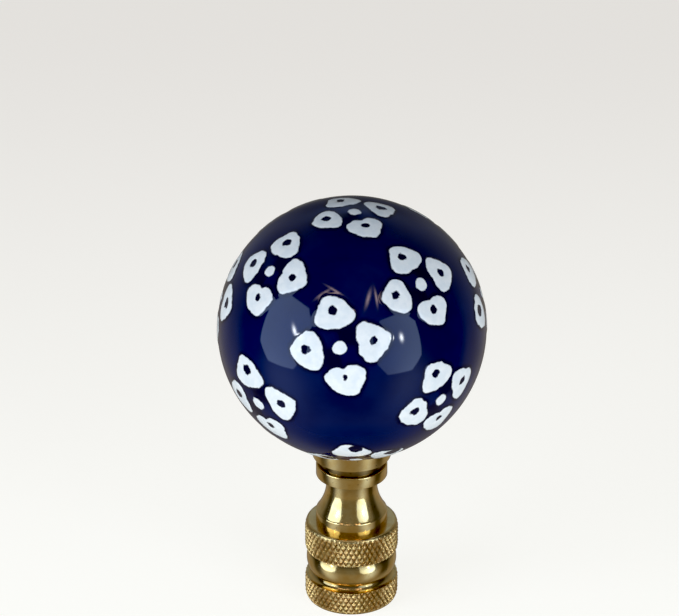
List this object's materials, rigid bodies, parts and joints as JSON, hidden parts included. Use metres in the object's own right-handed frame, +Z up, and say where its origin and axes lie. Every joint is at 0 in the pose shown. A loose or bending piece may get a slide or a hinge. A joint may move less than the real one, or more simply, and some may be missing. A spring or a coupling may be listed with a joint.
{
  "type": "lamp shade finial",
  "caption": "Glazed porcelain ball on a turned, knurled brass base with a tapped socket, which holds a shade on its lamp harp.",
  "frame": {"origin": "on the finial's axis, in the plane of its underside", "axes": "+Z up along the axis, from the socket's mouth to the top of the ball; a flower of the pattern faces -Y"},
  "size_m": [0.0356, 0.0356, 0.0578],
  "materials": {
    "cobalt_glaze": "clear gloss glaze over cobalt blue, with white four-petalled flowers",
    "brass": "bare turned brass, knurled grips"
  },
  "bodies": {
    "root": {"porcelain_ball": "cobalt_glaze", "threaded_base": "brass"}
  },
  "joints": []
}
